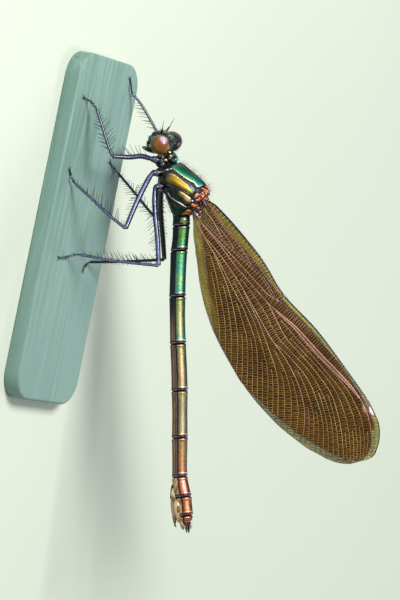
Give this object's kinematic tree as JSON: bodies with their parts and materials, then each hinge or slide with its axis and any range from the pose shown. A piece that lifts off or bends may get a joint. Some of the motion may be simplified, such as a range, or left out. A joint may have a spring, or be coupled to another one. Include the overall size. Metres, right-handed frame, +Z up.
{
  "type": "damselfly museum model",
  "caption": "Life-size still model of a metallic green demoiselle damselfly with brown closed wings, standing on a plain flat base.",
  "frame": {"origin": "centre of the base's flat underside", "axes": "+Z up, away from the base; +X from the head toward the tip of the abdomen; +Y to the insect's right"},
  "size_m": [0.0512, 0.0202, 0.0387],
  "materials": {
    "head_shell": "satin",
    "eye": "gloss",
    "leg_black": "satin",
    "thorax_green": "polished",
    "abdomen_green": "polished",
    "abdomen_bronze": "polished",
    "ovipositor": "satin",
    "wing": "satin",
    "stand": "matte"
  },
  "bodies": {
    "root": {"head": "head_shell", "mouthparts": "leg_black", "eye_left": "eye", "eye_right": "eye", "antenna_left": "leg_black", "antenna_right": "leg_black", "prothorax": "thorax_green", "thorax": "thorax_green", "abdomen_s1": "abdomen_green", "abdomen_s2": "abdomen_green", "abdomen_s3": "abdomen_green", "abdomen_s4": "abdomen_green", "abdomen_s5": "abdomen_bronze", "abdomen_s6": "abdomen_bronze", "abdomen_s7": "abdomen_bronze", "abdomen_s8": "abdomen_bronze", "abdomen_s9": "abdomen_bronze", "abdomen_s10": "abdomen_bronze", "ovipositor": "ovipositor", "femur_fore_left": "leg_black", "tibia_fore_left": "leg_black", "tarsus_fore_left": "leg_black", "femur_fore_right": "leg_black", "tibia_fore_right": "leg_black", "tarsus_fore_right": "leg_black", "femur_mid_left": "leg_black", "tibia_mid_left": "leg_black", "tarsus_mid_left": "leg_black", "femur_mid_right": "leg_black", "tibia_mid_right": "leg_black", "tarsus_mid_right": "leg_black", "femur_hind_left": "leg_black", "tibia_hind_left": "leg_black", "tarsus_hind_left": "leg_black", "femur_hind_right": "leg_black", "tibia_hind_right": "leg_black", "tarsus_hind_right": "leg_black", "wing_fore_left": "wing", "wing_fore_right": "wing", "wing_hind_left": "wing", "wing_hind_right": "wing", "stand_base": "stand"}
  },
  "joints": []
}
